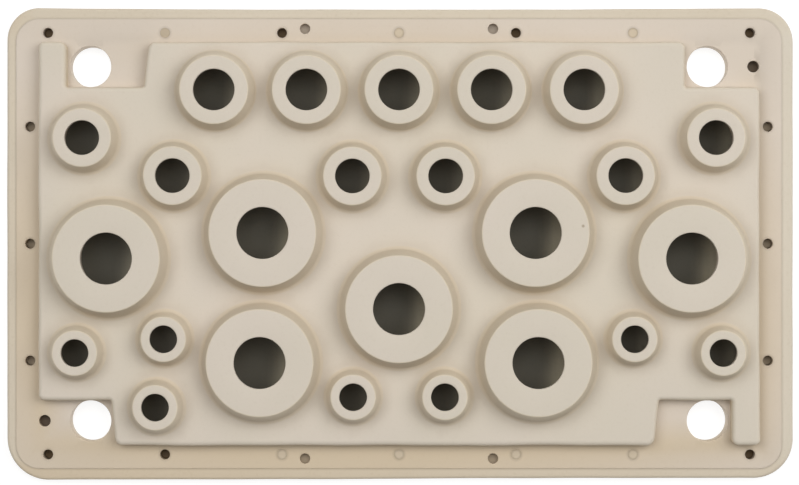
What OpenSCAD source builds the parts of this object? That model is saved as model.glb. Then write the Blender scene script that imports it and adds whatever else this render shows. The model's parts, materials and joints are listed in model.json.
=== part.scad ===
// Cable entry plate: a rigid flange plate carries a soft mat of stepped cable nipples.
// A dark sealing sheet closes the entries from behind, and a soft ring seals the flange to a panel.

/* [Plate] */
// Overall width across the sealing lip
plate_w = 231.6; // [229.6:0.2:320]
// Overall depth across the sealing lip
plate_d = 138.8; // [137.8:0.2:220]
// Corner radius of the sealing lip
plate_corner_r = 10.3; // [8:0.1:12]
// Thickness of the rigid plate
frame_t = 4; // [3.5:0.1:6]
// Rounding of the rigid plate's upper edge
frame_edge_r = 0.4; // [0.3:0.1:1]

/* [Fixing holes] */
// Spacing of the fixing holes along the width
fix_spacing_x = 181; // [179:0.5:182]
// Spacing of the fixing holes along the depth
fix_spacing_y = 104; // [103:0.5:105]
// Diameter of the fixing holes
fix_d = 12; // [8:0.1:12.4]

/* [Sealing ring] */
// Thickness of the ring under the rigid plate
seal_t = 1.5; // [1:0.1:3]
// Width of the lip that stands out round the rigid plate
lip_w = 3.3; // [2.4:0.1:3.8]
// Height of the lip above the ring
lip_h = 3.7; // [1.4:0.1:3.9]
// Rounding of the lip's outer edge
lip_edge_r = 1.2; // [0.5:0.1:1.3]
// Gap between the lip and the rigid plate's edge
lip_gap = 0.05; // [0:0.01:0.2]

/* [Pegs] */
// Diameter of the peg holes in the rigid plate
peg_hole_d = 2.9; // [2:0.1:3.4]
// Clearance round a peg
peg_gap = 0.05; // [0.02:0.01:0.2]
// Distance of the end peg holes from the rigid plate's short edges
peg_end = 9.45; // [8:0.05:12]
// Pitch of the peg holes along the short sides
peg_pitch = 34.35; // [30:0.05:35]
// Distance of the peg holes from the rigid plate's edge
peg_inset = 4.2; // [3.2:0.1:4.6]
// Depth of the sunk pegs below the rigid plate's face
peg_sink = 3; // [1:0.1:3.3]

/* [Blind holes] */
// Diameter of the paired dimples in the rigid plate's face
dimple_d = 3; // [2:0.1:4]
// Depth of the paired dimples
dimple_depth = 2; // [0.5:0.1:2.4]
// Distance of the paired dimples from the plate's middle
dimple_x = 27.6; // [24:0.1:30]
// Distance of the paired dimples from the rigid plate's edge
dimple_inset = 3; // [2.6:0.1:4]
// Diameter of the two end holes
end_hole_d = 3.4; // [2:0.1:4]
// Depth of the two end holes
end_hole_depth = 2.8; // [1:0.1:3.2]
// Distance of the two end holes from the fixing holes beside them
end_hole_reach = 13.5; // [11:0.1:17]

/* [Nipple mat] */
// Thickness of the mat under the nipples
mat_t = 4.5; // [3.5:0.1:6]
// Distance of the mat from the rigid plate's edge
mat_margin = 7; // [6.6:0.1:8]
// Corner radius of the mat
mat_corner_r = 1.5; // [1.5:0.1:3]
// Bevel of the mat's upper edge
mat_bevel = 1; // [0.4:0.1:1.4]
// Distance by which the mat's notches sit nearer the middle than the fixing holes
notch_shift = 0.3; // [0:0.1:0.3]
// Distance from a notch's axis to the mat on either side of it
notch_clear = 6.4; // [6.4:0.1:8]
// Distance from a fixing hole's axis to the inner end of the notch round it
notch_end = 6.1; // [6.1:0.1:8]
// Distance from a notch's axis to the far end of a long notch
notch_run = 15.6; // [10:0.1:20]

/* [Nipples] */
// Rounding of a nipple's upper edge
nipple_edge_r = 0.5; // [0.2:0.1:1.2]
// Fillet at a nipple's foot
nipple_foot_r = 1; // [0.6:0.1:1.2]
// Draft of a nipple's wall in degrees
nipple_draft = 15; // [5:0.5:17]
// Bevel of the mouth of a throat
mouth_bevel = 0.35; // [0.1:0.05:0.8]
// Thickness of the lip round a throat, above its wider chamber
throat_l = 1.6; // [1:0.1:4]
// Step from a throat to its wider chamber
chamber_step = 1.5; // [0.5:0.1:2]

/* [Throat sizes] */
// Diameter of the 8 mm throats
throat_8_d = 8; // [6:0.1:9]
// Width of the top round an 8 mm throat
land_8 = 2.7; // [2:0.1:3]
// Height of the 8 mm nipples above the mat
height_8 = 5.2; // [4:0.1:7]
// Diameter of the 10 mm throats
throat_10_d = 10; // [8:0.1:11]
// Width of the top round a 10 mm throat
land_10 = 3.6; // [2.5:0.1:4]
// Height of the 10 mm nipples above the mat
height_10 = 6; // [4.5:0.1:8]
// Diameter of the 12 mm throats
throat_12_d = 12; // [9:0.1:12.5]
// Width of the top round a 12 mm throat
land_12 = 4.1; // [3:0.1:4.4]
// Height of the 12 mm nipples above the mat
height_12 = 6.3; // [4.5:0.1:8]
// Diameter of the 15 mm throats
throat_15_d = 15; // [12:0.1:16]
// Width of the top round a 15 mm throat
land_15 = 8.2; // [5:0.1:8.5]
// Height of the 15 mm nipples above the mat
height_15 = 7; // [5:0.1:9]

/* [Entry places] */
// Pitch of the row of 12 mm entries
row_pitch = 26.8; // [25.5:0.1:27.5]
// Row of 12 mm entries, distance above the middle
row_y = 44.6; // [44:0.1:45]
// Outer pair of 10 mm entries
outer_10 = [91.8, 30.7]; // [0:0.1:95]
// Middle pair of 10 mm entries
middle_10 = [65.6, 19.7]; // [0:0.1:95]
// Inner pair of 10 mm entries
inner_10 = [13.5, 19.6]; // [0:0.1:95]
// Outer pair of 15 mm entries
outer_15 = [84.7, -4.3]; // [-40:0.1:95]
// Middle pair of 15 mm entries
middle_15 = [39.5, 3.1]; // [-40:0.1:95]
// Low pair of 15 mm entries
low_15 = [40.3, -34.5]; // [-40:0.1:95]
// Single 15 mm entry on the middle line
centre_15 = [0, -18.9]; // [-40:0.1:95]
// Outer pair of 8 mm entries
outer_8 = [94, -31.7]; // [-50:0.1:95]
// Middle pair of 8 mm entries
middle_8 = [68.3, -27.7]; // [-50:0.1:95]
// Inner pair of 8 mm entries
inner_8 = [13.3, -44.5]; // [-50:0.1:95]
// Single 8 mm entry near one corner
corner_8 = [-70.7, -47.5]; // [-80:0.1:0]

/* [Sealing sheet] */
// Thickness of the sheet behind the entries
sheet_t = 1; // [0.6:0.1:1.5]
// Distance from the mat's edge to the sheet's edge
sheet_inset = 3; // [2:0.1:3.5]
// Distance from a fixing hole's axis to the sheet
sheet_clear = 10.5; // [9:0.1:11]
// Width of the sheet's border that the sealing ring holds
sheet_seat = 2; // [1:0.1:2.4]
// Clearance round the sheet in its recess
sheet_gap = 0.2; // [0.1:0.05:0.5]
// Corner radius of the sheet
sheet_corner_r = 3; // [2.5:0.1:5]

/* [Hidden] */
$fn = 64;
cut = 1;
// Depth to which a nipple's foot runs on inside the mat
foot_sink = 0.3;
row_count = 5;
peg_columns = 7;
peg_rows = 3;
// Share of a rounding by which its arc is set back, so that it crosses the bevel it softens
arc_setback = 0.08;

frame_w = plate_w - 2 * lip_w;
frame_d = plate_d - 2 * lip_w;
frame_corner_r = plate_corner_r - lip_w;
frame_top = seal_t + frame_t;
mat_w = frame_w - 2 * mat_margin;
mat_d = frame_d - 2 * mat_margin;
mat_top = frame_top + mat_t;
sheet_top = seal_t + sheet_t;

// Throat diameter, land and height of each nipple size
nipple_sizes = [
    [throat_8_d, land_8, height_8],
    [throat_10_d, land_10, height_10],
    [throat_12_d, land_12, height_12],
    [throat_15_d, land_15, height_15]
];
size_8 = 0;
size_10 = 1;
size_12 = 2;
size_15 = 3;

function single(at, size) = [[at.x, at.y, size]];
function mirrored(at, size) = [[at.x, at.y, size], [-at.x, at.y, size]];

// Place and size number of each entry
entries = concat(
    [for (i = [0 : row_count - 1]) [(i - (row_count - 1) / 2) * row_pitch, row_y, size_12]],
    mirrored(outer_10, size_10),
    mirrored(middle_10, size_10),
    mirrored(inner_10, size_10),
    mirrored(outer_15, size_15),
    mirrored(middle_15, size_15),
    mirrored(low_15, size_15),
    single(centre_15, size_15),
    mirrored(outer_8, size_8),
    mirrored(middle_8, size_8),
    mirrored(inner_8, size_8),
    single(corner_8, size_8)
);

function throat_r(entry) = nipple_sizes[entry.z][0] / 2;
function land(entry) = nipple_sizes[entry.z][1];
function nipple_h(entry) = nipple_sizes[entry.z][2];

// Place of each peg and whether it stands flush with the rigid plate's face
peg_top_y = frame_d / 2 - peg_inset;
peg_side_x = frame_w / 2 - peg_inset;
peg_column_pitch = (frame_w - 2 * peg_end) / (peg_columns - 1);
function column_x(i) = (i - (peg_columns - 1) / 2) * peg_column_pitch;
function row_place(j) = (j - (peg_rows - 1) / 2) * peg_pitch;
pegs = concat(
    [for (i = [0 : peg_columns - 1]) [column_x(i), peg_top_y, i % 2 == 1]],
    [for (i = [0 : peg_columns - 1]) [column_x(i), -peg_top_y, i >= 2 && i < peg_columns - 1]],
    [for (s = [-1, 1], j = [0 : peg_rows - 1]) [s * peg_side_x, row_place(j), false]]
);

// Rectangle with round corners, centred
module rounded_rect(w, d, r) {
    square([w, d - 2 * r], center = true);
    square([w - 2 * r, d], center = true);
    for (x = [-1, 1], y = [-1, 1])
        translate([x * (w / 2 - r), y * (d / 2 - r)])
            circle(r);
}

// Carries a section round a rounded rectangle. The section's x is measured from the corner centres.
module around(w, d, r) {
    half_x = w / 2 - r;
    half_y = d / 2 - r;
    for (turn = [0, 180])
        rotate([0, 0, turn]) {
            translate([half_x, half_y, 0])
                rotate_extrude(angle = 90)
                    children();
            translate([-half_x, half_y, 0])
                rotate([0, 0, 90])
                    rotate_extrude(angle = 90)
                        children();
            translate([half_x, half_y, 0])
                rotate([90, 0, 0])
                    linear_extrude(2 * half_y)
                        children();
            translate([-half_x, half_y, 0])
                rotate([0, 0, 90])
                    rotate([90, 0, 0])
                        linear_extrude(2 * half_x)
                            children();
        }
}

// Section with its upper outer corner rounded: from x0 to x1, height h
module edge_section(x0, x1, h, r) {
    polygon([[x0, 0], [x1, 0], [x1, h - r], [x1 - r, h], [x0, h]]);
    translate([x1 - r * (1 + arc_setback), h - r * (1 + arc_setback)])
        circle(r);
}

// Cylinders of the four fixing holes
module fixing_holes() {
    for (x = [-1, 1], y = [-1, 1])
        translate([x * fix_spacing_x / 2, y * fix_spacing_y / 2, -cut])
            cylinder(d = fix_d, h = frame_top + 2 * cut);
}

// Outline of the sealing sheet, grown or shrunk by a border
module sheet_outline(border) {
    r = sheet_corner_r + border;
    w = mat_w - 2 * sheet_inset + 2 * border;
    d = mat_d - 2 * sheet_inset + 2 * border;
    rounded_rect(w, fix_spacing_y - 2 * sheet_clear + 2 * border, r);
    rounded_rect(fix_spacing_x - 2 * sheet_clear + 2 * border, d, r);
}

// Section of a notch in the mat, from a to b: its sides flare out over the mat's bevelled upper edge
module notch_section(a, b) {
    above = mat_t + cut;
    polygon([
        [a, -cut],
        [b, -cut],
        [b, mat_t - mat_bevel],
        [b + mat_bevel, mat_t],
        [b + mat_bevel, above],
        [a - mat_bevel, above],
        [a - mat_bevel, mat_t],
        [a, mat_t - mat_bevel]
    ]);
}

// Space cut from a corner of the mat, from x0 to x1 and upwards from y0
module notch(x0, x1, y0) {
    y1 = y0 + mat_d;
    intersection() {
        translate([0, y1, 0])
            rotate([90, 0, 0])
                linear_extrude(2 * mat_d)
                    notch_section(x0, x1);
        translate([-2 * mat_w, 0, 0])
            rotate([90, 0, 90])
                linear_extrude(4 * mat_w)
                    notch_section(y0, y1);
    }
}

// Mat without its nipples: bevelled upper edge, two long notches and two open corners round the fixing holes
module mat_body() {
    notch_x = fix_spacing_x / 2 - notch_shift;
    notch_y = fix_spacing_y / 2 - notch_end;
    difference() {
        union() {
            around(mat_w, mat_d, mat_corner_r)
                polygon([
                    [0, 0],
                    [mat_corner_r, 0],
                    [mat_corner_r, mat_t - mat_bevel],
                    [mat_corner_r - mat_bevel, mat_t],
                    [0, mat_t]
                ]);
            linear_extrude(mat_t)
                square([mat_w - 2 * mat_corner_r, mat_d - 2 * mat_corner_r], center = true);
        }
        for (turn = [0, 180])
            rotate([0, 0, turn]) {
                notch(-notch_x - notch_clear, -notch_x + notch_run, notch_y);
                notch(notch_x - notch_clear, mat_w, notch_y);
            }
    }
}

// Half section of a nipple: flat top out to its edge, rounded edge, drafted wall and foot fillet
module nipple_section(edge_at, h) {
    e = nipple_edge_r;
    f = nipple_foot_r;
    top_r = edge_at - e;
    wall_foot = edge_at + (h - e - f) * tan(nipple_draft);
    difference() {
        union() {
            polygon([
                [0, -foot_sink],
                [wall_foot + f + foot_sink, -foot_sink],
                [wall_foot, f],
                [edge_at, h - e],
                [top_r, h],
                [0, h]
            ]);
            translate([top_r - e * arc_setback, h - e * (1 + arc_setback)])
                circle(e);
        }
        translate([wall_foot + f * (1 + arc_setback), f * (1 + arc_setback)])
            circle(f);
    }
}

// Half section of the space inside an entry: chamber, throat and bevelled mouth
module entry_section(r, h) {
    lip_z = h - throat_l;
    polygon([
        [0, -mat_t - cut],
        [r + chamber_step, -mat_t - cut],
        [r + chamber_step, lip_z],
        [r, lip_z],
        [r, h - mouth_bevel],
        [r + mouth_bevel + cut, h + cut],
        [0, h + cut]
    ]);
}

module frame() {
    color("#d3c6b3")
        difference() {
            translate([0, 0, seal_t])
                union() {
                    around(frame_w, frame_d, frame_corner_r)
                        edge_section(0, frame_corner_r, frame_t, frame_edge_r);
                    linear_extrude(frame_t)
                        square([frame_w - 2 * frame_corner_r, frame_d - 2 * frame_corner_r], center = true);
                }
            fixing_holes();
            for (entry = entries)
                translate([entry.x, entry.y, 0])
                    cylinder(r = throat_r(entry) + chamber_step, h = frame_top + cut);
            for (peg = pegs)
                translate([peg.x, peg.y, 0])
                    cylinder(d = peg_hole_d, h = frame_top + cut);
            for (x = [-1, 1], y = [-1, 1])
                translate([x * dimple_x, y * (frame_d / 2 - dimple_inset), frame_top - dimple_depth])
                    cylinder(d = dimple_d, h = dimple_depth + cut);
            for (s = [-1, 1])
                translate([
                    s * (fix_spacing_x / 2 + end_hole_reach),
                    s * fix_spacing_y / 2,
                    frame_top - end_hole_depth
                ])
                    cylinder(d = end_hole_d, h = end_hole_depth + cut);
            translate([0, 0, seal_t - cut])
                linear_extrude(sheet_t + cut)
                    sheet_outline(sheet_gap);
        }
}

module sealing_ring() {
    bed_grow = 2 * lip_gap + lip_w;
    color("#d8cfbf")
        difference() {
            union() {
                around(plate_w, plate_d, plate_corner_r)
                    edge_section(frame_corner_r + lip_gap, plate_corner_r, seal_t + lip_h, lip_edge_r);
                linear_extrude(seal_t)
                    difference() {
                        rounded_rect(frame_w + bed_grow, frame_d + bed_grow, frame_corner_r + bed_grow / 2);
                        sheet_outline(-sheet_seat);
                    }
                for (peg = pegs)
                    translate([peg.x, peg.y, 0])
                        cylinder(d = peg_hole_d - 2 * peg_gap, h = frame_top - (peg.z ? 0 : peg_sink));
            }
            fixing_holes();
        }
}

module nipple_mat() {
    color("#d6cdbd")
        translate([0, 0, mat_top])
            difference() {
                union() {
                    translate([0, 0, -mat_t])
                        mat_body();
                    for (entry = entries)
                        translate([entry.x, entry.y, 0])
                            rotate_extrude()
                                nipple_section(throat_r(entry) + land(entry), nipple_h(entry));
                }
                for (entry = entries)
                    translate([entry.x, entry.y, 0])
                        rotate_extrude()
                            entry_section(throat_r(entry), nipple_h(entry));
            }
}

module sealing_sheet() {
    color("#4a4b48")
        translate([0, 0, seal_t])
            linear_extrude(sheet_t)
                sheet_outline(0);
}

frame();
sealing_ring();
nipple_mat();
sealing_sheet();
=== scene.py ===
import json
import math

import bmesh
import bpy
import numpy as np
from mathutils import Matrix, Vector
from mathutils.geometry import delaunay_2d_cdt


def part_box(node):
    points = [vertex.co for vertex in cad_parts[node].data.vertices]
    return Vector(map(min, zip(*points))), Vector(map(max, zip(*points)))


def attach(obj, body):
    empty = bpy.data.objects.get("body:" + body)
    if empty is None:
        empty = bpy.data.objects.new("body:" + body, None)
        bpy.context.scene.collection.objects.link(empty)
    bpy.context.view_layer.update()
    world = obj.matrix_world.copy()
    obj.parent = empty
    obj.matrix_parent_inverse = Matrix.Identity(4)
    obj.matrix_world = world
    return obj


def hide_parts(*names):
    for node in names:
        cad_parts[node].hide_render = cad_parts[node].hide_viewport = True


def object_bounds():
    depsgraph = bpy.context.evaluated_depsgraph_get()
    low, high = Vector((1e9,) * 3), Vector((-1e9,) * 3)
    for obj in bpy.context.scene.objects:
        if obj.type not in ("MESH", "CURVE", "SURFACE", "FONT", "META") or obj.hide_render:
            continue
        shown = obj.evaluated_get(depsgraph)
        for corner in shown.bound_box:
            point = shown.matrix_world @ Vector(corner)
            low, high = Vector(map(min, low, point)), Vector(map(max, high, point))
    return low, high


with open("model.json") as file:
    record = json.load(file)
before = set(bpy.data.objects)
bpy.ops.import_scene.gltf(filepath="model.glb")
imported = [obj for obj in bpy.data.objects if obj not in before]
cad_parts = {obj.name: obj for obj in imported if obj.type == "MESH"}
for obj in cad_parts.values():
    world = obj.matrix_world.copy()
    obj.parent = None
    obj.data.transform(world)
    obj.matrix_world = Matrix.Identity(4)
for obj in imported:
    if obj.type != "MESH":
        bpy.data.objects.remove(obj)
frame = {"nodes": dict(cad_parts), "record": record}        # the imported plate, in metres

cadLow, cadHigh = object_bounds()
mm = 0.001
hair = 0.01 * mm        # slack where places are compared
weldReach = 0.002 * mm        # points closer than this become one
record = frame["record"]
print("plate loaded:", ", ".join(sorted(frame["nodes"])))

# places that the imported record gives: cable entries, fixing holes
entryBoxes = {opening["name"]: np.array(opening["box_m"]) for opening in record["physics"]["openings"]
              if opening["name"].startswith("entry_")}
entryCentres = np.array([box[:, :2].mean(axis=0) for box in entryBoxes.values()])
entryBores = np.array([int(name.split("_")[1]) for name in entryBoxes])
fixing = next(mount for mount in record["mounts"] if mount["name"] == "fixing_holes")["dims"]
fixHalf = np.array([fixing["spacing_x_mm"], fixing["spacing_y_mm"]]) * mm / 2
fixRadius = fixing["hole_r_mm"] * mm
fixCentres = fixHalf * np.array([[1, 1], [-1, 1], [-1, -1], [1, -1]])
fixSteps = 64        # sides of a fixing hole's circle
frameLow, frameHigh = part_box("frame")
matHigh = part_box("nipple_mat")[1]
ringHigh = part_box("sealing_ring")[1]
sheetLow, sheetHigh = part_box("sealing_sheet")
frameTop = frameHigh.z


# Closed outline with right-angled corners: at each corner an arc of its own radius turns from the incoming
# to the outgoing direction, and evenly divided straight runs join the arcs. Also gives the outward normals.
def roundedOutline(corners, radii, arcSteps, runSteps):
    corners = np.asarray(corners, float)
    incoming = corners - np.roll(corners, 1, axis=0)
    incoming /= np.linalg.norm(incoming, axis=1, keepdims=True)
    outgoing = np.roll(incoming, -1, axis=0)
    r = np.broadcast_to(np.asarray(radii, float), len(corners))[:, None]
    centres = corners + r * (outgoing - incoming)
    phi = np.linspace(0, np.pi / 2, arcSteps)[None, :, None]
    arcs = centres[:, None] + r[:, None] * (incoming[:, None] * np.sin(phi) - outgoing[:, None] * np.cos(phi))
    arcTangents = incoming[:, None] * np.cos(phi) + outgoing[:, None] * np.sin(phi)
    t = np.linspace(0, 1, runSteps + 2)[None, 1:-1, None]
    runs = arcs[:, -1:] * (1 - t) + np.roll(arcs, -1, axis=0)[:, :1] * t
    runTangents = np.broadcast_to(outgoing[:, None], runs.shape)
    points = np.concatenate([arcs, runs], axis=1).reshape(-1, 2)
    tangents = np.concatenate([arcTangents, runTangents], axis=1).reshape(-1, 2)
    return points, np.stack([tangents[:, 1], -tangents[:, 0]], axis=1)


# Corners of a centred rectangle, counter-clockwise.
def rectangle(halfX, halfY):
    return np.array([[halfX, -halfY], [halfX, halfY], [-halfX, halfY], [-halfX, -halfY]])


# Circle: centre plus radius times cosine and sine of evenly spaced angles.
def circle(centre, radius, steps):
    angle = np.linspace(0, 2 * np.pi, steps, endpoint=False)
    return np.asarray(centre) + radius * np.stack([np.cos(angle), np.sin(angle)], axis=1)


# Arc of a profile: centre plus radius times cosine and sine, from one angle to another in degrees.
def arc(centre, radius, start, end, steps):
    angle = np.radians(np.linspace(start, end, steps))
    return np.asarray(centre) + radius * np.stack([np.cos(angle), np.sin(angle)], axis=1)


# Slow unevenness of soft moulding: the mean of a few sines along a length, between about -1 and 1.
def ripple(along, waves):
    phase = np.arange(len(waves)) * 1.7        # radians from one sine to the next
    return np.sin(2 * np.pi * along[:, None] / np.asarray(waves) + phase).mean(axis=1)


# Length along an outline at each of its points: the sum of the steps up to there.
def lengthAlong(outline):
    return np.cumsum(np.linalg.norm(outline - np.roll(outline, 1, axis=0), axis=1))


# Distances in plan from each of a piece's points to each of some places.
def planGaps(at, places):
    return np.linalg.norm(at[:, None, :2] - places[None], axis=2)


# Depth inside a centred rectangle with round corners: the radius, less what passes the corners' centres.
def depthInside(places, half, radius):
    past = np.abs(places) - (np.asarray(half) - radius)
    return radius - np.linalg.norm(np.clip(past, 0, None), axis=1) - np.minimum(past.max(axis=1), 0)


# A point is inside an outline when a ray from it along +X crosses the outline an odd number of times.
def isInside(points, outline):
    a, b = outline, np.roll(outline, -1, axis=0)
    x, y = points[:, :1], points[:, 1:]
    crosses = (a[:, 1] > y) != (b[:, 1] > y)
    rise = np.where(b[:, 1] == a[:, 1], 1, b[:, 1] - a[:, 1])
    meets = a[:, 0] + (y - a[:, 1]) * (b[:, 0] - a[:, 0]) / rise
    return (crosses & (x < meets)).sum(axis=1) % 2 == 1


# Grid of quads over rows and columns of points, closed along the columns.
def ringQuads(rows, columns):
    i, j = np.meshgrid(np.arange(rows - 1) * columns, np.arange(columns), indexing="ij")
    k = (j + 1) % columns
    return np.stack([i + j, i + k, i + columns + k, i + columns + j], axis=-1).reshape(-1, 4)


# A profile carried along an outline: each profile point stands its first number out along the normals, at
# its own height.
def swept(outline, normals, profile):
    profile = np.asarray(profile, float)
    plan = outline[None] + profile[:, :1, None] * normals[None]
    height = np.broadcast_to(profile[:, 1:2, None], plan.shape[:2] + (1,))
    return np.concatenate([plan, height], axis=2).reshape(-1, 3), ringQuads(len(profile), len(outline))


# A profile of radius and height turned once round a vertical axis: carried out from it along a circle.
def turned(centre, profile, steps):
    return swept(np.broadcast_to(np.asarray(centre, float), (steps, 2)), circle((0, 0), 1, steps), profile)


# Level area inside one outline and outside others: triangles on the outlines' own points and on a loose grid.
# The grid stays half a step inside the outline's box, so that none of its points splits a straight edge.
def levelArea(outer, holes, height, spacing):
    # the triangulation works in single precision, so the outlines are rounded to it before both are compared
    loops = [np.float32(loop / mm).astype(float) for loop in [outer] + list(holes)]
    starts = np.cumsum([0] + [len(loop) for loop in loops])
    border = np.concatenate(loops)
    edges = np.concatenate([np.stack([np.arange(len(p)), (np.arange(len(p)) + 1) % len(p)], axis=1) + s
                            for p, s in zip(loops, starts)])
    low, high, step = border.min(axis=0), border.max(axis=0), spacing / mm
    counts = np.ceil((high - low) / step).astype(int)
    ticks = [a + (b - a) * (np.arange(n) + 0.5) / n for a, b, n in zip(low, high, counts)]
    grid = np.stack(np.meshgrid(*ticks), axis=-1).reshape(-1, 2)
    near = np.linalg.norm(grid[:, None] - border[None], axis=2).min(axis=1)
    points = np.concatenate([border, grid[near > 0.6 * step]])        # the grid keeps off the outlines
    wholeHull, sameReach = 0, 1e-6        # kind of result, and millimetres within which points are the same
    made = delaunay_2d_cdt(points.tolist(), edges.tolist(), [], wholeHull, sameReach)
    flat, triangles = np.array(made[0]), np.array(made[2])
    middle = flat[triangles].mean(axis=1)
    keep = isInside(middle, loops[0])
    for hole in loops[1:]:
        keep &= ~isInside(middle, hole)
    used, triangles = np.unique(triangles[keep], return_inverse=True)
    return np.column_stack([flat[used] * mm, np.full(len(used), height)]), triangles.reshape(-1, 3)


# One mesh object from several surfaces, welded where their edges meet, with its faces turned outwards.
def makePiece(name, surfaces, sharpAngle):
    verts, faces, count = [], [], 0
    for points, polygons in surfaces:
        verts.append(points)
        faces += (polygons + count).tolist()
        count += len(points)
    mesh = bpy.data.meshes.new(name)
    mesh.from_pydata(np.concatenate(verts).tolist(), [], faces)
    bm = bmesh.new()
    bm.from_mesh(mesh)
    bmesh.ops.remove_doubles(bm, verts=bm.verts, dist=weldReach)
    bmesh.ops.recalc_face_normals(bm, faces=bm.faces)
    bm.to_mesh(mesh)
    bm.free()
    edgeOfCorner = np.empty(len(mesh.loops), np.int32)
    mesh.loops.foreach_get("edge_index", edgeOfCorner)
    openEdges = (np.bincount(edgeOfCorner, minlength=len(mesh.edges)) != 2).sum()
    mesh.polygons.foreach_set("use_smooth", np.ones(len(mesh.polygons), bool))
    mesh.set_sharp_from_angle(angle=math.radians(sharpAngle))
    piece = bpy.data.objects.new(name, mesh)
    bpy.context.scene.collection.objects.link(piece)
    print(name, "has", len(mesh.polygons), "faces and", openEdges, "open edges")
    return piece


# Places of a piece's vertices, one row each.
def vertexPlaces(piece):
    flat = np.empty(len(piece.data.vertices) * 3)
    piece.data.vertices.foreach_get("co", flat)
    return flat.reshape(-1, 3)


# A share from 0 to 1 for each vertex, under a name that the materials read.
def paint(piece, name, amount):
    piece.data.attributes.new(name, "FLOAT", "POINT").data.foreach_set("value", np.asarray(amount, float))


# soft mat with its stepped nipples; what differs between these is given for each throat, in whole millimetres
nippleMat = {
    "outlineSteps": (7, 40), "topSpacing": 2 * mm, "gridSpacing": 5 * mm, "sharpAngle": 38,
    "thickness": 4.5 * mm,
    "cornerRadius": 1.9 * mm, "mouthRadius": 2.3 * mm, "notchRadius": 0.4 * mm, "edgeRound": 1.4 * mm,
    "notchShift": 0.3 * mm, "notchClear": 6.4 * mm, "notchEnd": 6.1 * mm, "notchRun": 15.6 * mm,
    # walls that lean in plan: place along X, upper or lower side, shift at the notch's end and at its mouth
    "leans": np.array([[-74.6, 1, -0.1, 1.3], [74.6, -1, 1.6, 0], [-83.8, -1, -0.5, 0.8],
                       [-96.6, 1, -0.4, -0.4], [96.6, -1, 0.4, 0.4], [105.5, -1, 0, 0.4]]) * [mm, 1, mm, mm],
    "leanReach": 6 * mm, "waves": np.array([67, 41, 23]) * mm, "waveHeight": 0.16 * mm,
    "land": {8: 2.7 * mm, 10: 3.6 * mm, 12: 4.1 * mm, 15: 8.2 * mm},
    "height": {8: 5.2 * mm, 10: 6 * mm, 12: 6.3 * mm, 15: 7 * mm},
    "foot": {8: 1.5 * mm, 10: 1.5 * mm, 12: 1.2 * mm, 15: 1.5 * mm},
    "steps": {8: 80, 10: 88, 12: 96, 15: 112},
    "draft": 15, "nippleEdge": 0.45 * mm, "mouthRound": 0.25 * mm,
    "throatLength": 1.6 * mm, "lipBevel": 0.3 * mm, "chamberStep": 1.5 * mm,
    # painted shade round the nipples' feet: its share at one foot, the most of it, its run across the mat and
    # its height up the walls
    "footShade": 0.2, "mostShade": 0.7, "shadeRun": 1.6 * mm, "shadeHeight": 5 * mm,
    # yellower tone painted on the walls, from just above the mat's face
    "wallTint": 0.6, "wallStart": 0.1 * mm,
}
matTop = frameTop + nippleMat["thickness"]


# Half profile of a nipple from its foot inwards: foot arc, drafted wall, edge arc, flat land, mouth arc,
# throat, chamber.
def nippleProfile(m, bore):
    throat = bore * mm / 2
    h = m["height"][bore]
    e, f, b, c = m["nippleEdge"], m["foot"][bore], m["mouthRound"], m["lipBevel"]
    top = throat + m["land"][bore] - e
    lean = math.radians(m["draft"])
    wall = h - e - f + (e + f) * math.sin(lean)
    footX = top + (e + f) * math.cos(lean) + wall * math.tan(lean)
    lip = h - m["throatLength"]
    chamber = throat + m["chamberStep"]
    profile = np.concatenate([
        arc((footX, f), f, 270, 180 + m["draft"], 8),
        arc((top, h - e), e, m["draft"], 90, 8),
        [[(top + throat) / 2, h]],
        arc((throat + b, h - b), b, 90, 180, 5),
        [[throat, h - 0.5 * m["throatLength"]], [throat, lip + c], [throat + c, lip]],
        [[chamber, lip], [chamber, -m["thickness"]]],
    ])
    return profile + [0, matTop]


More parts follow.
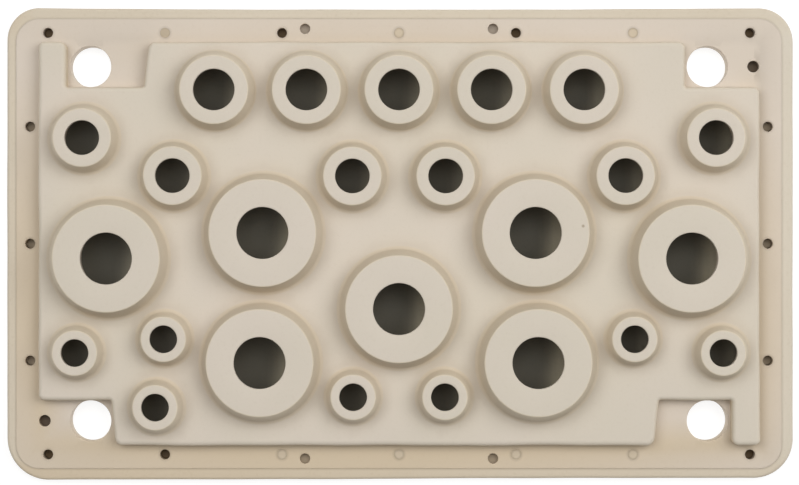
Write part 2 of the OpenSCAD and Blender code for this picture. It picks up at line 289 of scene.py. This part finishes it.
# Mat: a wall with a quarter-round edge carried along the notched outline, a turned profile for each nipple,
# and level areas between the nipples' feet above and between their chambers below.
def buildNippleMat(m):
    e, halfX, halfY = m["edgeRound"], matHigh.x, matHigh.y
    notchX = fixHalf[0] - m["notchShift"]
    inner, outer, far = notchX - m["notchClear"], notchX + m["notchClear"], notchX - m["notchRun"]
    level = fixHalf[1] - m["notchEnd"]
    # upper half of the outline, right to left; the lower half is the same turned half way round
    upper = np.array([[halfX, level], [inner, level], [inner, halfY], [-far, halfY],
                      [-far, level], [-outer, level], [-outer, halfY], [-halfX, halfY]])
    r, s, n = m["cornerRadius"], m["mouthRadius"], m["notchRadius"]
    corners = np.concatenate([upper, -upper])
    outline, normals = roundedOutline(corners, [r, n, s, s, n, n, s, r] * 2, *m["outlineSteps"])
    # each leaning wall moves along X by a straight slope from the notch's end to its mouth
    for x, side, innerShift, mouthShift in m["leans"]:
        isBeyond = outline[:, 1] * side > level - hair
        share = np.clip(1 - np.abs(outline[:, 0] - x) / m["leanReach"], 0, 1) * isBeyond
        outline[:, 0] += share * np.interp(np.abs(outline[:, 1]), (level, halfY), (innerShift, mouthShift))
    uneven = m["waveHeight"] * (ripple(lengthAlong(outline), m["waves"]) - 1)
    outline = outline + normals * uneven[:, None]
    edge = np.concatenate([[[0, frameTop]], arc((-e, matTop - e), e, 0, 90, 10)])
    surfaces = [swept(outline, normals, edge)]
    feet, chambers, footRadii = [], [], []
    for centre, bore in zip(entryCentres, entryBores):
        profile = nippleProfile(m, bore)
        footRadii.append(profile[0, 0])
        steps = m["steps"][bore]
        surfaces.append(turned(centre, profile, steps))
        feet.append(circle(centre, profile[0, 0], steps))
        chambers.append(circle(centre, profile[-1, 0], steps))
    surfaces.append(levelArea(outline - normals * e, feet, matTop, m["topSpacing"]))
    surfaces.append(levelArea(outline, chambers, frameTop, m["gridSpacing"]))
    piece = makePiece("softNippleMat", surfaces, m["sharpAngle"])
    # painted shade lies round the nipples' feet, deepest between close nipples, and thins out over the mat;
    # their walls and the mat's are painted a yellower tone
    at = vertexPlaces(piece)
    reach = planGaps(at, entryCentres)
    lands = np.array([bore * mm / 2 + m["land"][bore] - m["nippleEdge"] for bore in entryBores])
    isOutside = (reach > lands + hair).all(axis=1)
    spread = np.exp(-np.clip(reach - footRadii, 0, None) / m["shadeRun"]).sum(axis=1)
    rise = np.clip((at[:, 2] - matTop) / m["shadeHeight"], 0, 1)
    paint(piece, "dirtAndShade", np.clip(m["footShade"] * spread * (1 - rise) ** 2, 0, m["mostShade"]) * isOutside)
    # yellower tone painted on the nipples' walls and the mat's edge
    wall = m["wallTint"] * isOutside * (at[:, 2] > matTop + m["wallStart"])
    paint(piece, "tintAndPaintedLight", np.maximum(np.clip((matTop - at[:, 2]) / e, 0, 1), wall))
    return piece


# pegs along the plate's rim, shared by the rigid plate and the sealing ring
pegPlan = {"columns": 7, "rows": 3, "pitch": 34.35 * mm, "end": 9.45 * mm, "inset": 4.2 * mm, "steps": 32}


# Places of the pegs: two long rows and two short ones along the rim, each with whether the peg stands flush.
def pegPlaces(m):
    column = np.linspace(frameLow.x + m["end"], frameHigh.x - m["end"], m["columns"])
    row = (np.arange(m["rows"]) - (m["rows"] - 1) / 2) * m["pitch"]
    top, side = frameHigh.y - m["inset"], frameHigh.x - m["inset"]
    places = np.concatenate([np.stack([column, np.full_like(column, top)], axis=1),
                             np.stack([column, np.full_like(column, -top)], axis=1),
                             np.stack([np.full_like(row, side), row], axis=1),
                             np.stack([np.full_like(row, -side), row], axis=1)])
    number = np.arange(m["columns"])
    upperFlush, lowerFlush = number % 2 == 1, (number >= 2) & (number < m["columns"] - 1)
    return places, np.concatenate([upperFlush, lowerFlush, np.zeros(2 * m["rows"], bool)])


pegCentres, pegFlush = pegPlaces(pegPlan)

# outline of the sealing sheet behind the entries, which its recess and the ring's opening follow
sheetPlan = {"clear": 10.5 * mm, "innerRadius": 0.3 * mm, "outlineSteps": (6, 24)}


# Outline of a cross that keeps clear of the fixing holes, grown by a border, with round outer corners.
def crossOutline(m, border, radius):
    wide = np.array([sheetHigh.x, sheetHigh.y]) + border
    neck = fixHalf - m["clear"] + border
    quarter = np.array([[wide[0], neck[1]], [neck[0], neck[1]], [neck[0], wide[1]]])
    flip = np.array([-1, 1])
    corners = np.concatenate([quarter, quarter[::-1] * flip, -quarter, -quarter[::-1] * flip])
    return roundedOutline(corners, [radius, m["innerRadius"], radius] * 4, *m["outlineSteps"])


# rigid plate with its fixing holes, peg holes, blind dimples and a web behind the mat
rigidPlate = {
    "outlineSteps": (14, 40), "topSpacing": 2.2 * mm, "gridSpacing": 5 * mm, "sharpAngle": 38,
    "cornerRadius": 7 * mm, "edgeRound": 0.12 * mm,
    "rimRound": 0.15 * mm, "flushRim": 0.02 * mm, "collar": 0.8 * mm, "pegHole": 1.45 * mm,
    "dimple": 1.5 * mm, "dimpleDepth": 2 * mm, "dimpleX": 27.6 * mm, "dimpleInset": 3 * mm,
    "endHole": 1.7 * mm, "endDepth": 2.8 * mm, "endReach": 13.5 * mm,
    "chamberStep": 1.5 * mm, "webSteps": 64, "recessGap": 0.2 * mm, "recessRadius": 3.2 * mm,
    # painted shade in the peg holes, end holes and dimples; dirt round the peg holes and in the outer seam;
    # painted shade beside the mat
    "holeShade": np.array([1, 1, 0.5]), "holeSlack": 0.05 * mm, "stain": 0.2,
    "seamBand": 0.35 * mm, "seamStain": 0.18,
    "besideMatShade": {"right": 0.2, "left": 0, "upper": 0.1, "lower": 0.05}, "sideBlend": 2 * mm,
    # tone painted over the rim: at the middle, along the plate, at the corners, and the painted shade added
    # beside the mat
    "tintAndPaintedLight": {"middle": 0.5, "alongX": -0.2, "alongY": -0.4, "corners": -0.7},
    "shadeByMat": {"middle": 0.42, "alongX": 0.25, "alongY": -0.15}, "tintAndShadeRun": 2.5 * mm, "fadeRun": 8 * mm,
}


# Places of the blind holes: two pairs of dimples beside the long edges' middles, and an end hole beyond each
# of two fixing holes.
def blindPlaces(m):
    dimples = rectangle(m["dimpleX"], frameHigh.y - m["dimpleInset"])
    end = fixHalf + [m["endReach"], 0]
    return dimples, np.array([end, -end])


# Plate: an edge carried along a rectangle with round corners, the recess's wall along the sheet's cross, a
# turned rim for each hole, and level areas that join them at the top, the base and the recess.
def buildRigidPlate(m):
    base, recessTop = frameLow.z, sheetHigh.z
    halfSize = (frameHigh.x, frameHigh.y)
    outline, normals = roundedOutline(rectangle(*halfSize), m["cornerRadius"], *m["outlineSteps"])
    e, k, pegSteps = m["edgeRound"], m["rimRound"], pegPlan["steps"]
    band = e + m["seamBand"]
    edge = np.concatenate([[[0, base]], arc((-e, frameTop - e), e, 0, 90, 7), [[-band, frameTop]]])
    surfaces = [swept(outline, normals, edge)]
    recess, recessNormals = crossOutline(sheetPlan, m["recessGap"], m["recessRadius"])
    surfaces.append(swept(recess, recessNormals, [[0, base], [0, recessTop]]))
    upper, lower, webs = [], [], []

    # Profile of a hole: a flat collar, a quarter-round rim and a wall down to its depth.
    def rimmed(r, rim, depth):
        collar = np.linspace(r + rim + m["collar"], r + rim, 4)[:-1, None] * [1, 0] + [0, frameTop]
        return np.concatenate([collar, arc((r + rim, frameTop - rim), rim, 90, 180, 4), [[r, depth]]])

    through = ((fixCentres, fixRadius, k, fixSteps), (pegCentres[~pegFlush], m["pegHole"], k, pegSteps),
               (pegCentres[pegFlush], m["pegHole"], m["flushRim"], pegSteps))
    for centres, r, rim, steps in through:
        for c in centres:
            surfaces.append(turned(c, rimmed(r, rim, base), steps))
            upper.append(circle(c, r + rim + m["collar"], steps))
            lower.append(circle(c, r, steps))
    dimples, ends = blindPlaces(m)
    for centres, r, depth in ((dimples, m["dimple"], m["dimpleDepth"]), (ends, m["endHole"], m["endDepth"])):
        bottom = frameTop - depth
        for c in centres:
            surfaces.append(turned(c, np.concatenate([rimmed(r, k, bottom), [[0, bottom]]]), pegSteps))
            upper.append(circle(c, r + k + m["collar"], pegSteps))
    for c, bore in zip(entryCentres, entryBores):
        r = bore * mm / 2 + m["chamberStep"]
        surfaces.append(turned(c, [[r, recessTop], [r, frameTop]], m["webSteps"]))
        webs.append(circle(c, r, m["webSteps"]))
    surfaces.append(levelArea(outline - normals * band, upper + webs, frameTop, m["topSpacing"]))
    surfaces.append(levelArea(outline, lower + [recess], base, m["gridSpacing"]))
    surfaces.append(levelArea(recess, webs, recessTop, m["gridSpacing"]))
    piece = makePiece("rigidPlate", surfaces, m["sharpAngle"])
    # painted shade in the holes deepens over their first millimetre, and dirt thins out over the pegs'
    # collars and the seam
    at = vertexPlaces(piece)
    depth = np.clip((frameTop - at[:, 2]) / mm, 0, 1)
    gaps = np.array([planGaps(at, places).min(axis=1) for places in (pegCentres, ends, dimples)])
    near = gaps < m["endHole"] + m["holeSlack"]
    inHole = depth * (near * m["holeShade"][:, None]).max(axis=0)
    stain = m["stain"] * np.clip(1 - (gaps[0] - m["pegHole"]) / m["collar"], 0, 1)
    inward = depthInside(at[:, :2], halfSize, m["cornerRadius"])
    seam = m["seamStain"] * np.clip(1 - inward / band, 0, 1)
    # painted shade beside the mat falls off outwards, with its own share on each of the four sides
    past = np.abs(at[:, :2]) - [matHigh.x, matHigh.y]
    beyond = past.max(axis=1)
    close = np.exp(-np.clip(beyond, 0, None) / m["tintAndShadeRun"])
    x, y = (at[:, :2] / halfSize).T
    sideways = 0.5 + 0.5 * np.tanh((past[:, 0] - past[:, 1]) / m["sideBlend"])
    s = m["besideMatShade"]
    atSides, atEnds = np.where(x > 0, s["right"], s["left"]), np.where(y > 0, s["upper"], s["lower"])
    shadeBesideMat = close * (sideways * atSides + (1 - sideways) * atEnds) * (beyond > -mm)
    paint(piece, "dirtAndShade", np.maximum(inHole, np.maximum(stain, seam) + shadeBesideMat))
    # the rim is painted a yellower tone, most of all along its lower side, and not at its corners; beside the
    # mat more is laid on as painted shade
    a, b = m["tintAndPaintedLight"], m["shadeByMat"]
    tintAndPaintedLight = a["middle"] + a["alongY"] * y + a["alongX"] * x + a["corners"] * (x * y) ** 2
    tintAndPaintedLight += close * (b["middle"] + b["alongY"] * y + b["alongX"] * x)
    paint(piece, "tintAndPaintedLight", np.clip(tintAndPaintedLight, 0, 1) * np.clip(1 + beyond / m["fadeRun"], 0, 1))
    return piece


# dark sheet that closes the entries from behind; its painted light is given in throat radii
sealingSheet = {
    "cornerRadius": 3 * mm, "edgeRound": 0.2 * mm, "gridSpacing": 1.6 * mm, "sharpAngle": 38,
    # painted light behind each entry: its tilt, start and run across the throat, its reach, and its share by
    # bore
    "lightTilt": 0.15, "lightStart": 0.15, "lightRun": 0.7, "lightReach": 1.4, "lightAmount": {8: 0.35, 15: 1},
}


# Sheet: two quarter-rounds carried along the cross, closed by a level area below and one above.
def buildSealingSheet(m):
    outline, normals = crossOutline(sheetPlan, 0, m["cornerRadius"])
    k, low, high = m["edgeRound"], sheetLow.z, sheetHigh.z
    edge = np.concatenate([arc((-k, low + k), k, 270, 360, 4), arc((-k, high - k), k, 0, 90, 4)])
    inset = outline - normals * k
    surfaces = [swept(outline, normals, edge)]
    surfaces += [levelArea(inset, [], height, m["gridSpacing"]) for height in (low, high)]
    piece = makePiece("softSheet", surfaces, m["sharpAngle"])
    # on the sheet's upper face painted light lies towards one side behind each entry, more of it behind the
    # wide ones
    at = vertexPlaces(piece)
    nearest = planGaps(at, entryCentres).argmin(axis=1)
    across = (at[:, :2] - entryCentres[nearest]) / (entryBores[nearest] * mm / 2)[:, None]
    drift = across[:, 0] - m["lightTilt"] * across[:, 1] - m["lightStart"]
    paintedLight = np.clip(drift / m["lightRun"], 0, 1) ** 2
    isBehind = (np.linalg.norm(across, axis=1) < m["lightReach"]) & (at[:, 2] > (low + high) / 2)
    amount = np.interp(entryBores[nearest], list(m["lightAmount"]), list(m["lightAmount"].values()))
    paint(piece, "tintAndPaintedLight", isBehind * paintedLight * amount)
    return piece


# soft sealing ring: bed behind the rigid plate, lip round its edge, pegs through its rim
sealingRing = {
    "bed": 1.5 * mm, "lipTop": 5.35 * mm, "lipGap": 0.01 * mm, "seat": -2 * mm, "seatRadius": 1 * mm,
    "outlineSteps": (16, 60), "gridSpacing": 6 * mm, "sharpAngle": 38,
    "cornerRadii": np.array([11.6, 10.2, 9.7, 12.4]) * mm, "innerRadius": 7.01 * mm,
    "edgeRound": 0.9 * mm, "footRound": 0.3 * mm,
    "waves": np.array([83, 47, 29]) * mm, "waveHeight": 0.06 * mm,
    "pullIn": 0.5 * mm, "pullCurve": 2.5, "slant": 0.5 * mm, "slantRun": 45 * mm, "leftPull": 0.6 * mm,
    "pegRadius": 1.4 * mm, "pegSink": 3 * mm, "pegRound": 0.15 * mm,
    "flushRadius": 1.43 * mm, "flushSink": 0.02 * mm, "flushRound": 0.04 * mm, "pegMiddle": 0.55,
    # dirt on a flush peg's rim and middle, painted shade on the sunk pegs of the short and the long sides,
    # and dirt in the seam
    "rimStart": 0.7, "rimGrime": 0.3, "middleGrime": 0.1, "brownPeg": 1, "shortSunkShade": 0.6, "longSunkShade": 1.0,
    "pegStart": 0.1 * mm, "seamBand": 0.6 * mm, "seamStain": 0.16, "lowerStain": 0.5,
    # yellower tone: of the pegs, and of the lip on three of its sides
    "pegTint": 0.8, "lowerTint": 0.75, "lowerTilt": 0.35, "leftTint": 0.4, "upperTint": 0.35,
    "tintAndShadeRun": 6 * mm,
}


# Ring: foot and lip carried along an uneven outline, a second wall along the plate's edge, the opening's wall
# along the sheet's cross, turned pegs, and level areas for the bed and the base.
def buildSealingRing(m):
    gap, steps = m["lipGap"], m["outlineSteps"]
    outline, normals = roundedOutline(rectangle(ringHigh.x, ringHigh.y), m["cornerRadii"], *steps)

    # Outline round the plate's edge, a border further out.
    def aroundPlate(border):
        corners = rectangle(frameHigh.x + gap + border, frameHigh.y + gap + border)
        return roundedOutline(corners, m["innerRadius"] + border, *steps)[0]

    # the upper side draws in between its corners, the lower side slants and the left side draws in evenly
    x, up = outline[:, 0], normals[:, 1]
    drawIn = m["pullIn"] * np.clip(up, 0, 1) * (1 - np.abs(x / ringHigh.x) ** m["pullCurve"])
    slant = m["slant"] * np.clip(-up, 0, 1) * (1 + np.tanh(x / m["slantRun"])) / 2
    leftIn = m["leftPull"] * np.clip(-normals[:, 0], 0, 1)
    shift = m["waveHeight"] * (ripple(lengthAlong(outline), m["waves"]) - 1) - drawIn - slant - leftIn
    e, b = m["edgeRound"], m["footRound"]
    outer = np.concatenate([arc((-b, b), b, 270, 360, 4), arc((-e, m["lipTop"] - e), e, 0, 90, 8)])
    outerPoints, outerQuads = swept(outline + normals * shift[:, None], normals, outer)
    inner = aroundPlate(0)
    innerRows = ((aroundPlate(m["seamBand"]), m["lipTop"]), (inner, m["lipTop"]), (inner, m["bed"]))
    lipRows = [outerPoints[-len(outline):]]
    lipRows += [np.column_stack([row, np.full(len(row), height)]) for row, height in innerRows]
    surfaces = [(outerPoints, outerQuads), (np.concatenate(lipRows), ringQuads(len(lipRows), len(outline)))]
    # the opening behind the entries leaves a border that holds the sealing sheet
    opening, openingNormals = crossOutline(sheetPlan, m["seat"], m["seatRadius"])
    surfaces.append(swept(opening, openingNormals, [[0, 0], [0, m["bed"]]]))
    holes = [circle(c, fixRadius, fixSteps) for c in fixCentres]
    surfaces += [turned(c, [[fixRadius, 0], [fixRadius, m["bed"]]], fixSteps) for c in fixCentres]
    pegFeet = []
    for place, isFlush in zip(pegCentres, pegFlush):
        top = frameTop - m["flushSink" if isFlush else "pegSink"]
        r, k = m["flushRadius" if isFlush else "pegRadius"], m["flushRound" if isFlush else "pegRound"]
        peg = np.concatenate([[[r, m["bed"]]], arc((r - k, top - k), k, 0, 90, 5),
                              [[m["pegMiddle"] * r, top], [0, top]]])
        surfaces.append(turned(place, peg, pegPlan["steps"]))
        pegFeet.append(circle(place, r, pegPlan["steps"]))
    surfaces.append(levelArea(inner, [opening] + holes + pegFeet, m["bed"], m["gridSpacing"]))
    surfaces.append(levelArea(outerPoints[:len(outline), :2], [opening] + holes, 0.0, m["gridSpacing"]))
    piece = makePiece("softSealingRing", surfaces, m["sharpAngle"])
    # dirt on the flush pegs, painted shade on the sunk pegs, and dirt in the seam round the plate, more of it
    # on the lower side
    at = vertexPlaces(piece)
    gaps = planGaps(at, pegCentres)
    nearest, reach = gaps.argmin(axis=1), gaps.min(axis=1)
    onPeg = (reach < m["flushRadius"] + hair) & (at[:, 2] > m["bed"] + m["pegStart"])
    isRim = (reach > m["rimStart"] * m["pegRadius"]) | (nearest == m["brownPeg"])
    flushAmount = np.where(isRim, m["rimGrime"], m["middleGrime"])
    sunkShade = np.where(nearest < 2 * pegPlan["columns"], m["longSunkShade"], m["shortSunkShade"])
    lower, upper = (np.clip((side * at[:, 1] - frameHigh.y) / m["tintAndShadeRun"] + 1, 0, 1) for side in (-1, 1))
    left = np.clip((-at[:, 0] - frameHigh.x) / m["tintAndShadeRun"] + 1, 0, 1)
    inward = depthInside(at[:, :2], (frameHigh.x + gap, frameHigh.y + gap), m["innerRadius"])
    seam = m["seamStain"] * (1 + m["lowerStain"] * lower) * np.clip(1 + inward / m["seamBand"], 0, 1)
    paint(piece, "dirtAndShade", np.where(onPeg, np.where(pegFlush[nearest], flushAmount, sunkShade), seam))
    # the lip is painted a yellower tone along its lower side, most of all to the left, and the flush pegs
    # like the plate
    lowerTint = lower * (m["lowerTint"] - m["lowerTilt"] * at[:, 0] / ringHigh.x)
    lip = np.maximum(lowerTint, m["leftTint"] * left) + m["upperTint"] * upper
    paint(piece, "tintAndPaintedLight", np.where(onPeg, m["pegTint"], np.clip(lip, 0, 1)))
    return piece


# bands of noise and of distance over which the finishes of all four pieces change
moulded = {
    "patchBand": (0.35, 0.65), "speckleBand": (0.55, 0.75), "glossBand": (0.3, 0.7),
    "speckBand": (0.2 * mm, 0.6 * mm), "speckAmount": 0.7,
}


# Moulded surface: two close tones in slow patches, then a painted tone with painted light and shade, a fine
# speckle, dirt with painted shade and at most one speck laid over them in turn, with uneven gloss and a fine
# grain.
def mouldedLook(name, look):
    material = bpy.data.materials.new(name)
    material.use_nodes = True
    nodes, links = material.node_tree.nodes, material.node_tree.links
    shader = nodes["Principled BSDF"]
    place = nodes.new("ShaderNodeTexCoord")

    # Noise fixed to the piece, from 0 to 1.
    def noise(scale, detail):
        node = nodes.new("ShaderNodeTexNoise")
        node.inputs["Scale"].default_value = scale
        node.inputs["Detail"].default_value = detail
        links.new(place.outputs["Object"], node.inputs["Vector"])
        return node.outputs["Fac"]

    # A band of values stretched to another, and held at its ends.
    def spread(source, low, high, toLow, toHigh):
        node = nodes.new("ShaderNodeMapRange")
        node.inputs["From Min"].default_value = low
        node.inputs["From Max"].default_value = high
        node.inputs["To Min"].default_value = toLow
        node.inputs["To Max"].default_value = toHigh
        links.new(source, node.inputs["Value"])
        return node.outputs["Result"]

    # The share that a piece's own function painted.
    def painted(attribute):
        node = nodes.new("ShaderNodeAttribute")
        node.attribute_name = attribute
        return node.outputs["Fac"]

    # A colour laid over what lies below it, by a share.
    def laid(below, colour, share, blend="MIX"):
        node = nodes.new("ShaderNodeMix")
        node.data_type = "RGBA"
        node.blend_type = blend
        node.inputs["B"].default_value = (*colour, 1)
        links.new(share, node.inputs["Factor"])
        links.new(below, node.inputs["A"])
        return node.outputs["Result"]

    patches = nodes.new("ShaderNodeValToRGB")
    for stop, position, tone in zip(patches.color_ramp.elements, moulded["patchBand"], ("tone", "patch")):
        stop.position = position
        stop.color = (*look[tone], 1)
    links.new(noise(look["patchScale"], 3), patches.inputs["Fac"])
    # painted tone, with the painted light and shade that some pieces carry in the same share
    colour = laid(patches.outputs["Color"], look["tintAndPaintedLight"], painted("tintAndPaintedLight"))
    speckles = spread(noise(look["speckleScale"], 2), *moulded["speckleBand"], 0, look["speckleAmount"])
    colour = laid(colour, look["speckle"], speckles, "MULTIPLY")
    # dirt, with the painted shade that some pieces carry in the same share
    colour = laid(colour, look["dirtAndShade"], painted("dirtAndShade"))
    if "speck" in look:
        gap = nodes.new("ShaderNodeVectorMath")
        gap.operation = "DISTANCE"
        gap.inputs[1].default_value = look["speck"]
        links.new(place.outputs["Object"], gap.inputs[0])
        speck = spread(gap.outputs["Value"], *moulded["speckBand"], moulded["speckAmount"], 0)
        colour = laid(colour, look["dirtAndShade"], speck)
    links.new(colour, shader.inputs["Base Color"])
    gloss = spread(noise(look["glossScale"], 2), *moulded["glossBand"], *look["roughness"])
    links.new(gloss, shader.inputs["Roughness"])
    grain = nodes.new("ShaderNodeBump")
    grain.inputs["Strength"].default_value = look["grain"]
    grain.inputs["Distance"].default_value = look["grainDepth"]
    links.new(noise(look["grainScale"], 3), grain.inputs["Height"])
    links.new(grain.outputs["Normal"], shader.inputs["Normal"])
    shader.inputs["Specular IOR Level"].default_value = look["specular"]
    return material


frameLook = {
    "tone": (0.655, 0.572, 0.482), "patch": (0.638, 0.555, 0.46), "patchScale": 22,
    # colours laid over the tones: the rim's yellower tone with the painted shade beside the mat, then dirt
    # with painted shade in the holes
    "tintAndPaintedLight": (0.61, 0.50, 0.355), "dirtAndShade": (0.1, 0.066, 0.036),
    "speckle": (0.86, 0.82, 0.76), "speckleScale": 900, "speckleAmount": 0.15,
    "glossScale": 60, "roughness": (0.5, 0.62), "specular": 0.4,
    "grain": 0.25, "grainScale": 2200, "grainDepth": 0.05 * mm,
}
matLook = {
    "tone": (0.667, 0.594, 0.503), "patch": (0.647, 0.583, 0.484), "patchScale": 26,
    # colours laid over the tones: the walls' yellower tone, then the painted shade round the nipples' feet,
    # then a speck of dirt at this place
    "tintAndPaintedLight": (0.69, 0.59, 0.44), "dirtAndShade": (0.3, 0.22, 0.14), "speck": (53.2 * mm, 5.1 * mm, 17 * mm),
    "speckle": (0.9, 0.88, 0.85), "speckleScale": 1100, "speckleAmount": 0.25,
    "glossScale": 45, "roughness": (0.68, 0.8), "specular": 0.3,
    "grain": 0.2, "grainScale": 2600, "grainDepth": 0.04 * mm,
}
ringLook = {
    "tone": (0.66, 0.595, 0.49), "patch": (0.645, 0.575, 0.465), "patchScale": 24,
    # colours laid over the tones: the lip's and pegs' yellower tone, then dirt with the sunk pegs' painted
    # shade
    "tintAndPaintedLight": (0.62, 0.515, 0.375), "dirtAndShade": (0.12, 0.078, 0.038),
    "speckle": (0.88, 0.85, 0.8), "speckleScale": 1000, "speckleAmount": 0.3,
    "glossScale": 50, "roughness": (0.62, 0.76), "specular": 0.35,
    "grain": 0.2, "grainScale": 2400, "grainDepth": 0.04 * mm,
}
sheetLook = {
    "tone": (0.09, 0.084, 0.065), "patch": (0.078, 0.073, 0.056), "patchScale": 40,
    # the first colour after the tones is the painted light on the sheet behind the entries
    "tintAndPaintedLight": (0.225, 0.205, 0.15), "dirtAndShade": (0.075, 0.05, 0.033),
    "speckle": (0.8, 0.8, 0.8), "speckleScale": 1200, "speckleAmount": 0.4,
    "glossScale": 70, "roughness": (0.55, 0.7), "specular": 0.35,
    "grain": 0.25, "grainScale": 2400, "grainDepth": 0.05 * mm,
}

pieces = (
    ("frame", buildRigidPlate, rigidPlate, "pebblePlastic", frameLook),
    ("sealing_sheet", buildSealingSheet, sealingSheet, "darkSheet", sheetLook),
    ("sealing_ring", buildSealingRing, sealingRing, "softSeal", ringLook),
    ("nipple_mat", buildNippleMat, nippleMat, "softMat", matLook),
)
for node, build, sizes, lookName, look in pieces:
    piece = build(sizes)
    piece.data.materials.append(mouldedLook(lookName, look))
    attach(piece, "root")
    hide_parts(node)
print("four pieces built and dressed")

# pale floor: white to the camera apart from a share of the light that falls on it, so the shadow stays
floorLook = {"size": 3.0, "own": 0.8, "bounce": 1.0, "colour": (0.3, 0.3, 0.3)}
floorMesh = bpy.data.meshes.new("floor")
floorCorners = rectangle(floorLook["size"] / 2, floorLook["size"] / 2)
floorMesh.from_pydata(np.column_stack([floorCorners, np.full(4, cadLow.z)]).tolist(), [], [(0, 1, 2, 3)])
floor = bpy.data.objects.new("floor", floorMesh)
bpy.context.scene.collection.objects.link(floor)
floorMaterial = bpy.data.materials.new("paleFloor")
floorMaterial.use_nodes = True
floorNodes, floorLinks = floorMaterial.node_tree.nodes, floorMaterial.node_tree.links
floorNodes.remove(floorNodes["Principled BSDF"])
lightPath = floorNodes.new("ShaderNodeLightPath")
given = lightPath.outputs["Is Camera Ray"]
# the largest of them all: camera, glossy and transmission rays see the floor's whole light, others its bounce
for other in (lightPath.outputs["Is Glossy Ray"], lightPath.outputs["Is Transmission Ray"], None):
    larger = floorNodes.new("ShaderNodeMath")
    larger.operation = "MAXIMUM"
    larger.inputs[1].default_value = floorLook["bounce"]
    floorLinks.new(given, larger.inputs[0])
    if other:
        floorLinks.new(other, larger.inputs[1])
    given = larger.outputs[0]
ownLight = floorNodes.new("ShaderNodeMath")
ownLight.operation = "MULTIPLY"
ownLight.inputs[1].default_value = floorLook["own"]
glow = floorNodes.new("ShaderNodeEmission")
matte = floorNodes.new("ShaderNodeBsdfDiffuse")
matte.inputs["Color"].default_value = (*floorLook["colour"], 1)
both = floorNodes.new("ShaderNodeAddShader")
floorLinks.new(given, ownLight.inputs[0])
floorLinks.new(ownLight.outputs[0], glow.inputs["Strength"])
floorLinks.new(glow.outputs[0], both.inputs[0])
floorLinks.new(matte.outputs[0], both.inputs[1])
floorLinks.new(both.outputs[0], floorNodes["Material Output"].inputs["Surface"])
floorMesh.materials.append(floorMaterial)

# soft studio light: an even surround and two large panels, both a little beyond the plate's upper edge
studio = {
    "surround": 0.12, "panelSize": 0.8,
    "panels": {"leftPanel": ((-0.38, 0.23, 0.93), 5.6), "rightPanel": ((0.57, 0.22, 0.83), 6.8)},
}
world = bpy.data.worlds.new("studio")
world.use_nodes = True
surround = world.node_tree.nodes["Background"]
surround.inputs["Color"].default_value = (1, 1, 1, 1)
surround.inputs["Strength"].default_value = studio["surround"]
bpy.context.scene.world = world
for name, (place, power) in studio["panels"].items():
    light = bpy.data.lights.new(name, "AREA")
    light.energy = power
    light.size = studio["panelSize"]
    panel = bpy.data.objects.new(name, light)
    panel.location = place
    panel.rotation_euler = (-Vector(place)).to_track_quat("-Z", "Y").to_euler()
    bpy.context.scene.collection.objects.link(panel)

# straight-on camera above the plate's middle
view = {"distance": 700 * mm, "frameWidth": 234.6 * mm, "offset": (0.15 * mm, 0.35 * mm)}
camData = bpy.data.cameras.new("camera")
camData.sensor_fit = "HORIZONTAL"
camData.lens = camData.sensor_width * view["distance"] / view["frameWidth"]
camera = bpy.data.objects.new("camera", camData)
camera.location = (*view["offset"], frameTop + view["distance"])
bpy.context.scene.collection.objects.link(camera)
bpy.context.scene.camera = camera
bpy.context.scene.view_settings.view_transform = "Standard"
print("studio and camera ready")
